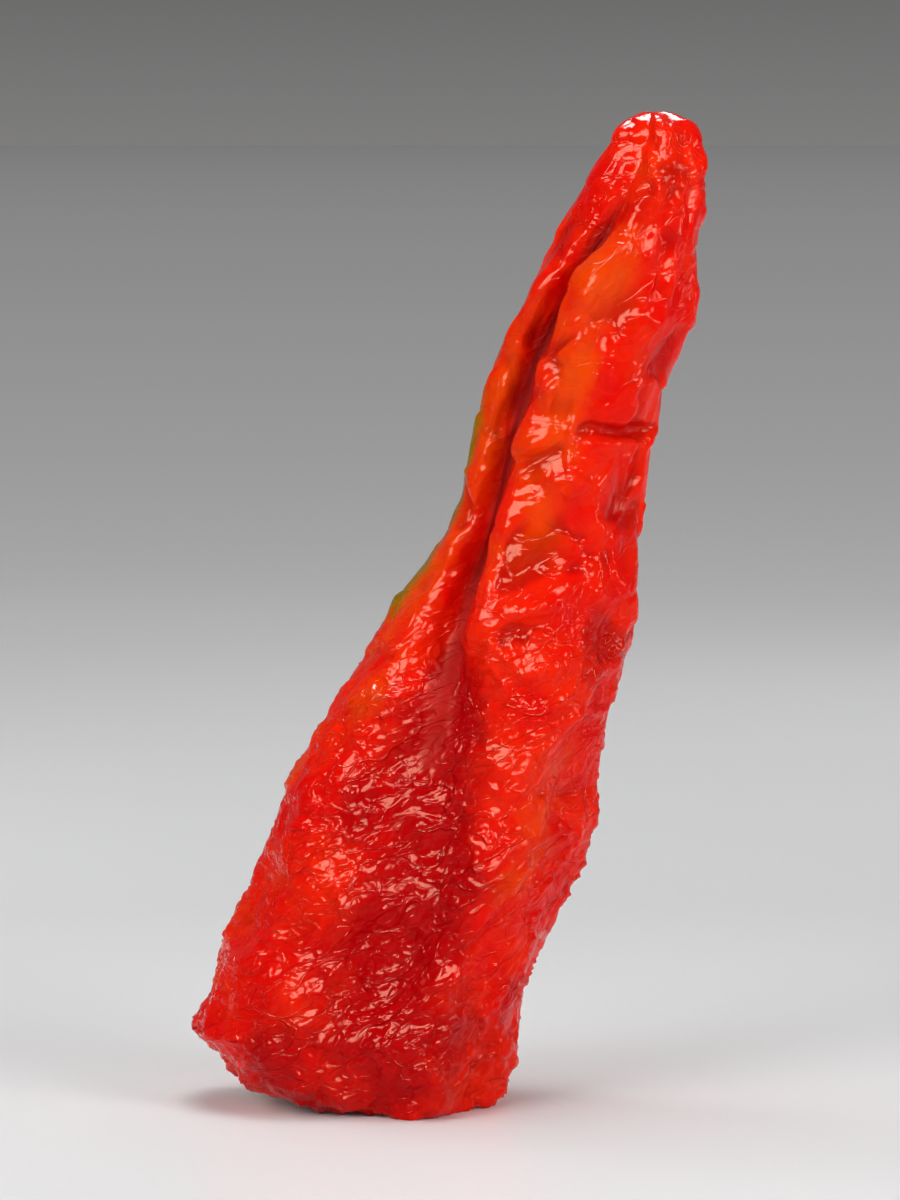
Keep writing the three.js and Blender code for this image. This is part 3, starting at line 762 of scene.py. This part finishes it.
def micro_relief():
    """Height: grain, less one set of winding crests and 0.28 of another that is 2.2 times as
    fine.  The size is in crests per metre."""
    group, start, end = new_group("micro_relief", "Height", Size=260.0, Grain=0.02)
    vector, size = start.outputs["Vector"], start.outputs["Size"]
    wide = crease(group, vector, size, 1.0)
    fine = crease(group, vector, maths(group, "MULTIPLY", size, 2.2), 0.0)
    both = maths(group, "MULTIPLY_ADD", fine, 0.28, wide)
    noise = add(group, "ShaderNodeTexNoise", Vector=vector, Scale=2600.0, Detail=2.0)
    grain = maths(group, "MULTIPLY", noise.outputs["Fac"], start.outputs["Grain"])
    feed(group, end.inputs["Height"], maths(group, "SUBTRACT", grain, both))
    return group


MOTTLING, RELIEF, PINCHED = mottling(), micro_relief(), pinched_relief()
print("groups:", MOTTLING.name, RELIEF.name, PINCHED.name)

# %% [markdown]
# ## The skin's finish
#
# The skin is a thin wax over wet flesh: a saturated colour, a little light that passes
# under the surface, and a tight gloss whose reflections are tinted warm.  Only the bottom
# of the furrow is dull.  Base Color takes the masks one after the other, red first.
# Numbers that are the same everywhere sit on the shader's own sockets.

# %% Fruit material
RED = (0.68, 0.0022, 0.0010, 1)
SCARLET = (0.78, 0.014, 0.0014, 1)
ORANGE = (0.74, 0.050, 0.0010, 1)
GREEN = (0.24, 0.13, 0.003, 1)
# Painted shade: this crimson darkens the furrow, the valley under it and the skin by the foot.
CRIMSON_SHADE = (0.42, 0.0006, 0.0018, 1)
# Painted shade: this darker red fills the valleys of the crinkles and folds.
CREVICE_SHADE = (0.34, 0.0004, 0.0010, 1)
WARM = (1.0, 0.66, 0.46, 1)
RAGGED = 0.35                    # how much the blotches break up the edge of a patch
GLOSS = (0.04, 0.10)             # least and most roughness of the wax
DULLNESS = 0.80                  # roughness added at the bottom of the furrow


def colour_sockets(node):
    """A Mix node has a socket of each name for each type of data; these are the colour ones."""
    return ([s for s in node.inputs if s.name == "A" and s.type == "RGBA"][0],
            [s for s in node.inputs if s.name == "B" and s.type == "RGBA"][0],
            [s for s in node.outputs if s.type == "RGBA"][0])


def blend_colour(tree, factor, first, second):
    """The colour output of a Mix node between two colours."""
    node = tree.nodes.new("ShaderNodeMix")
    node.data_type = "RGBA"
    a, b, result = colour_sockets(node)
    for socket, value in ((node.inputs["Factor"], factor), (a, first), (b, second)):
        feed(tree, socket, value)
    return result


def new_material(name):
    """A material with its tree, its shader and its object coordinates."""
    material = bpy.data.materials.new(name)
    material.use_nodes = True
    tree = material.node_tree
    return material, tree, tree.nodes["Principled BSDF"], add(tree, "ShaderNodeTexCoord").outputs["Object"]


def place(tree, group, vector, **values):
    """One use of a shared group with its own values."""
    return add(tree, "ShaderNodeGroup", node_tree=group, Vector=vector, **values).outputs[0]


def mask_of(tree, name):
    """The value of a mask that was painted on the mesh."""
    return add(tree, "ShaderNodeAttribute", attribute_name=name).outputs["Fac"]


def fruit_material():
    """Red, mottled with scarlet, then orange and green by their masks, crimson painted shade by
    the deep mask, and darker painted shade in the valleys of the crinkles."""
    material, tree, shader, where = new_material("fruit_skin")
    colour = blend_colour(tree, place(tree, MOTTLING, where, Size=90.0), RED, SCARLET)
    # The deep mask lays the crimson painted shade over the furrow, the valley and the foot.
    for name, paint_colour in (("orange", ORANGE), ("green", GREEN), ("deep", CRIMSON_SHADE)):
        blotches = place(tree, MOTTLING, where, Size=110.0)
        edge = maths(tree, "MULTIPLY_ADD", blotches, RAGGED, mask_of(tree, name))
        colour = blend_colour(tree, stretched(tree, edge, 0.28, 0.95), colour, paint_colour)
    # Painted shade: where the crest mask is low, in the valleys of the crinkles and folds, the colour turns
    # darker.
    low = stretched(tree, mask_of(tree, "crest"), 0.52, 0.12, most=0.60)
    feed(tree, shader.inputs["Base Color"], blend_colour(tree, low, colour, CREVICE_SHADE))
    wax = stretched(tree, place(tree, MOTTLING, where, Size=200.0), 0.0, 1.0, *GLOSS, curve="LINEAR")
    feed(tree, shader.inputs["Roughness"],
         maths(tree, "MULTIPLY_ADD", mask_of(tree, "dull"), DULLNESS, wax))
    bump = add(tree, "ShaderNodeBump", Height=place(tree, RELIEF, where, Size=210.0, Grain=0.015),
               Strength=mask_of(tree, "crumple"), Distance=0.0008)
    lines = add(tree, "ShaderNodeBump", Height=place(tree, PINCHED, where),
                Normal=bump.outputs["Normal"], Strength=mask_of(tree, "crumple"), Distance=0.00016)
    feed(tree, shader.inputs["Normal"], lines.outputs["Normal"])
    shader.inputs["Subsurface Weight"].default_value = 0.12
    shader.inputs["Subsurface Radius"].default_value = (1.0, 0.18, 0.08)
    shader.inputs["Subsurface Scale"].default_value = 0.002
    shader.inputs["Specular IOR Level"].default_value = 0.12
    shader.inputs["Specular Tint"].default_value = WARM
    return material


fruit.data.materials.append(fruit_material())
print("fruit finish:", len(fruit.data.materials[0].node_tree.nodes), "nodes")

# %% [markdown]
# ## The calyx
#
# The calyx is the dry green star that held the flower.  It follows the roof of the stalk
# hollow, so its height is the roof's height less a small gap.  Five low ribs run out to
# its points, and its rim curls a little.

# %% Calyx shape
CALYX_RADIUS, CALYX_TIP, CALYX_THICK, CALYX_EDGE = 7.0, 1.7, 1.6, 0.8
CALYX_GAP = GAP + 0.15
CALYX_WAY = (STALK_WAY + 36) * DEG


def calyx_points(columns=180, rings=26):
    """Rows run out under the star and back over it: radius = reach * row share, height = roof
    less a drop that is larger below than above, with ribs and a puckered rim."""
    angle = np.linspace(0, 2 * math.pi, columns, endpoint=False)[:, None]
    out = np.arange(1, rings + 1) / rings
    s = np.concatenate([out, out[::-1]])[None, :]
    below = np.concatenate([np.ones(rings), np.zeros(rings)])[None, :]
    star = np.cos(5 * (angle - CALYX_WAY))
    reach = CALYX_RADIUS + CALYX_TIP * (2 * (0.5 + 0.5 * star) ** 1.6 - 1) + 0.25 * np.sin(3 * angle + 1)
    radius = reach * s
    x, y = AXIS_X + radius * np.cos(angle), radius * np.sin(angle)
    vein = 0.22 * np.maximum(np.cos(5 * (angle - CALYX_WAY)), 0) ** 8 + 0.07 * np.cos(25 * angle)
    thick = CALYX_THICK + (CALYX_EDGE - CALYX_THICK) * s ** 2 + 0.25 * star * s * (1 - s) * 3
    thick = thick + (vein + 0.12 * rolling(x / 1.3, y / 1.3, 0 * x, 31)) * s * smooth(1.0, 0.85, s)
    z = hollow_roof(radius) - CALYX_GAP - thick * below
    return np.stack([x, y, z], -1)


top_z = HOLLOW_HEIGHT - SINK - CALYX_GAP
calyx = closed_mesh("calyx_star", calyx_points(), (AXIS_X, 0, top_z - CALYX_THICK), (AXIS_X, 0, top_z))
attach(calyx, "root")
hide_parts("calyx")
print("calyx:", len(calyx.data.polygons), "faces")

# %% [markdown]
# ## The stalk
#
# A stalk is a profile carried along a path.  The path starts straight down under the
# calyx, bends and runs out under the raised side.  The profile is a circle with five soft
# ribs and fine lengthwise lines, wider at the collar and at the cut end.

# %% Stalk shape
STALK_RADIUS, STALK_COLLAR = 2.0, 2.9
STALK_TOP = top_z - CALYX_THICK - GAP
STALK_PATH = [                   # along the way out, aside, height
    (0, 0, STALK_TOP), (0, 0, STALK_TOP - 1.1), (0.8, 0, STALK_TOP - 2.7), (2.6, 0, 3.1),
    (5, 0, 2.7), (9, 0.1, 2.6), (13, 0.1, 2.7), (16.5, -0.3, 3.2), (20, -1.0, 4.0),
]


def stalk_points(columns=72, steps=150):
    """Centre = a cubic curve through the path by its length; skin = centre + r cos(a) * side
    + r sin(a) * over, where side and over stand square to the path."""
    path = np.array(STALK_PATH, float)
    length = np.concatenate([[0], np.cumsum(np.linalg.norm(np.diff(path, axis=0), axis=1))])
    t = np.linspace(0, 1, steps)
    rows = np.column_stack([length / length[-1], path])
    along, aside, z = (through(rows, k, t) for k in (1, 2, 3))
    way = np.array([math.cos(STALK_WAY * DEG), math.sin(STALK_WAY * DEG), 0])
    left = np.array([-way[1], way[0], 0])
    centre = np.array([AXIS_X, 0, 0]) + along[:, None] * way + aside[:, None] * left + z[:, None] * [0, 0, 1]
    run = np.gradient(centre, axis=0)
    run /= np.linalg.norm(run, axis=1, keepdims=True)
    side = left - (run @ left)[:, None] * run
    side /= np.linalg.norm(side, axis=1, keepdims=True)
    over = np.cross(run, side)
    a = np.linspace(0, 2 * math.pi, columns, endpoint=False)[:, None]
    r = STALK_RADIUS - 0.15 * t + (STALK_COLLAR - STALK_RADIUS) * smooth(0.1, 0, t) + 0.25 * smooth(0.8, 1, t)
    r = r + (0.12 * np.cos(5 * a + 2 * t) + 0.035 * np.cos(19 * a + 5 * t)) * smooth(0, 0.1, t)
    r = r + 0.06 * rolling(np.cos(a) * 1.5 + 0 * t, np.sin(a) * 1.5 + 0 * t, 9 * t + 0 * a, 41)
    p = centre[None] + (r * np.cos(a))[..., None] * side[None] + (r * np.sin(a))[..., None] * over[None]
    p[..., 2] = np.minimum(p[..., 2], STALK_TOP)
    return p, centre


stalk_skin, stalk_line = stalk_points()
stalk = closed_mesh("stalk_rod", stalk_skin, stalk_line[0], stalk_line[-1])
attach(stalk, "root")
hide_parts("stem")
along_stalk = np.broadcast_to(np.linspace(0, 1, stalk_skin.shape[1]), stalk_skin.shape[:2])
paint(stalk, "along", along_stalk, [0, 1.05])
print("stalk:", len(stalk.data.polygons), "faces")

# %% [markdown]
# ## Finishes of the green pieces
#
# Calyx and stalk are dry plant fibre: a dull green that yellows in blotches, with a
# rougher surface than the fruit.  They share one recipe with different colours, and the
# cut end of the stalk turns brown.

# %% Green materials
def plant_material(name, young, old, roughness):
    """Two greens in blotches, with micro relief; returns the tree so that more can be added."""
    material, tree, shader, where = new_material(name)
    colour = blend_colour(tree, place(tree, MOTTLING, where, Size=240.0), young, old)
    feed(tree, shader.inputs["Base Color"], colour)
    bump = add(tree, "ShaderNodeBump", Height=place(tree, RELIEF, where, Size=900.0, Grain=0.6),
               Strength=0.6, Distance=0.0002)
    feed(tree, shader.inputs["Normal"], bump.outputs["Normal"])
    shader.inputs["Roughness"].default_value = roughness
    return material, tree, shader, colour


LEAF_YOUNG, LEAF_OLD = (0.10, 0.17, 0.025, 1), (0.24, 0.22, 0.05, 1)
BARK_YOUNG, BARK_OLD, CUT_END = (0.17, 0.24, 0.04, 1), (0.36, 0.34, 0.10, 1), (0.22, 0.13, 0.05, 1)

calyx_leaf = plant_material("calyx_leaf", LEAF_YOUNG, LEAF_OLD, 0.55)[0]
calyx.data.materials.append(calyx_leaf)
stem_bark, tree, shader, green = plant_material("stem_bark", BARK_YOUNG, BARK_OLD, 0.5)
cut = stretched(tree, mask_of(tree, "along"), 0.93, 1.02)
feed(tree, shader.inputs["Base Color"], blend_colour(tree, cut, green, CUT_END))
stalk.data.materials.append(stem_bark)
print("green finishes:", calyx_leaf.name, stem_bark.name)

# %% [markdown]
# ## The studio
#
# The fruit stands on a pale, slightly glossy table that runs back into grey.  The table is
# a plain round disc whose brightness depends on how far it is from the fruit, so it looks
# the same from every side.

# %% Floor and sky
FLOOR_RADIUS, FLOOR_DROP = 30.0, 0.00004   # in metres; the drop keeps it clear of the foot
FLOOR_GREY = (0.78, 0.785, 0.79, 1)
FLOOR_GLOW = [(0.25, 0.01), (1.0, 0.22), (5.0, 0.14), (30.0, 0.07)]   # metres away, brightness
SKY_GREY = [(-0.01, 0.22), (0.02, 0.15)]   # height of a direction, brightness


def ramp(tree, value, stops, tint=(1.0, 1.0, 1.0)):
    """The colour of a ramp: brightness times tint at each (value, brightness) stop."""
    low, high = stops[0][0], stops[-1][0]
    node = add(tree, "ShaderNodeValToRGB", Fac=stretched(tree, value, low, high, curve="LINEAR"))
    elements = node.color_ramp.elements
    while len(elements) < len(stops):
        elements.new(0.5)
    for element, (at, glow) in zip(elements, stops):
        element.position = (at - low) / (high - low)
        element.color = [glow * part for part in tint] + [1]
    return node.outputs["Color"]


def floor_material():
    """A pale grey with a soft sheen, plus a glow that follows the distance from the fruit."""
    material, tree, shader, where = new_material("table_top")
    shader.inputs["Base Color"].default_value = FLOOR_GREY
    shader.inputs["Roughness"].default_value = 0.38
    shader.inputs["Specular IOR Level"].default_value = 0.10
    away = add(tree, "ShaderNodeVectorMath", operation="LENGTH", Vector=where).outputs["Value"]
    steps = [(math.log10(metres), glow) for metres, glow in FLOOR_GLOW]
    glowing = ramp(tree, maths(tree, "LOGARITHM", away, 10.0), steps)
    feed(tree, shader.inputs["Emission Color"], glowing)
    shader.inputs["Emission Strength"].default_value = 1.0
    return material


def disc(name, radius, columns=96):
    """One flat face with many sides, just under the ground."""
    angle = np.linspace(0, 2 * math.pi, columns, endpoint=False)
    x, y, z = radius * np.cos(angle), radius * np.sin(angle), np.full(columns, -FLOOR_DROP)
    mesh = bpy.data.meshes.new(name)
    mesh.from_pydata(np.column_stack([x, y, z]), [], [list(range(columns))])
    sheet = bpy.data.objects.new(name, mesh)
    bpy.context.scene.collection.objects.link(sheet)
    return sheet


table = disc("table_top", FLOOR_RADIUS)
table.data.materials.append(floor_material())

world = bpy.data.worlds.new("studio_grey")
bpy.context.scene.world = world
world.use_nodes = True
sky = world.node_tree
direction = add(sky, "ShaderNodeTexCoord").outputs["Generated"]
upward = add(sky, "ShaderNodeSeparateXYZ", Vector=direction).outputs["Z"]
feed(sky, sky.nodes["Background"].inputs["Color"], ramp(sky, upward, SKY_GREY, (1.0, 0.985, 0.975)))
print("floor radius in m:", FLOOR_RADIUS)

# %% [markdown]
# ## Lights
#
# Crinkled gloss is drawn by what it reflects, so most lamps here are made for one task.
# The fills light the skin and leave no shine.  The boxes and strips are seen only in its
# gloss: a wide box above the front makes the broad pale patches, one overhead catches the
# crown and every upward ridge, a small one lights the right lobe's faces, and thin strips
# at both sides draw the lines down the edges.

# %% Soft boxes
AIM = Vector((0.0, 0.0, 0.075))


def soft_box(name, location, wide, tall, brightness, shine=True, fill=True):
    """A rectangular lamp that faces the fruit.  Its power is brightness * area * pi, so the
    brightness of its face stays the same whatever its size.  It can be kept out of the
    reflections, or out of everything but them."""
    lamp = bpy.data.lights.new(name, "AREA")
    lamp.shape, lamp.size, lamp.size_y = "RECTANGLE", wide, tall
    lamp.energy = brightness * wide * tall * math.pi
    light = bpy.data.objects.new(name, lamp)
    light.location = location
    light.rotation_euler = (AIM - Vector(location)).to_track_quat("-Z", "Y").to_euler()
    light.visible_glossy, light.visible_diffuse = shine, fill
    bpy.context.scene.collection.objects.link(light)


soft_box("key_fill", (-0.56, -0.72, 0.52), 0.50, 0.50, 5.6, shine=False)
soft_box("right_fill", (0.58, -0.56, 0.36), 0.40, 0.50, 6.4, shine=False)
soft_box("top_fill", (0.02, -0.05, 0.80), 0.40, 0.40, 5.0, shine=False)
soft_box("key_box", (-0.16, -0.78, 0.66), 0.84, 0.50, 30.0, fill=False)
soft_box("top_box", (0.05, 0.25, 0.80), 0.40, 0.40, 48.0, fill=False)
soft_box("right_box", (0.54, -0.54, 0.52), 0.24, 0.30, 26.0, fill=False)
soft_box("left_strip", (-0.80, -0.33, 0.26), 0.05, 0.45, 12.0, fill=False)
soft_box("right_strip", (0.66, -0.12, 0.16), 0.06, 0.50, 16.0, fill=False)
soft_box("left_fill", (-0.55, 0.35, 0.30), 0.20, 0.40, 5.0, shine=False)
soft_box("back_fill", (0.30, 0.70, 0.45), 0.40, 0.40, 1.5, shine=False)

# %% [markdown]
# ## Camera
#
# The photograph was taken with a long lens, a little above the level of the table.  At one
# metre the lens is set so that one picture row is the size worked out for the fruit.

# %% Camera
ROW_MM = 160.0 / 990.0           # size of one picture row at the fruit, out of 1200
PICTURE_ROWS = 1200
MIDDLE_COLUMN, MIDDLE_ROW = 450.0, 600.0
AXIS_COLUMN = 340.7              # picture column of x = 0 before the move to the origin
GROUND_ROW = 1103.5              # picture row of the ground under the fruit
DISTANCE = 1.0
ELEVATION = 4.5 * DEG

aim_x = (MIDDLE_COLUMN - AXIS_COLUMN) * ROW_MM - BOX_X
aim = Vector((aim_x * MM, 0, (GROUND_ROW - MIDDLE_ROW) * ROW_MM * MM))
camera = bpy.data.objects.new("camera", bpy.data.cameras.new("camera"))
camera.data.sensor_width = 36.0
camera.data.lens = camera.data.sensor_width * DISTANCE / (PICTURE_ROWS * ROW_MM * MM)
camera.location = aim + Vector((0, -math.cos(ELEVATION), math.sin(ELEVATION))) * DISTANCE
camera.rotation_euler = (aim - camera.location).to_track_quat("-Z", "Y").to_euler()
bpy.context.scene.collection.objects.link(camera)
bpy.context.scene.camera = camera
bpy.context.scene.view_settings.view_transform = "Standard"
print("lens in mm:", round(camera.data.lens, 1))
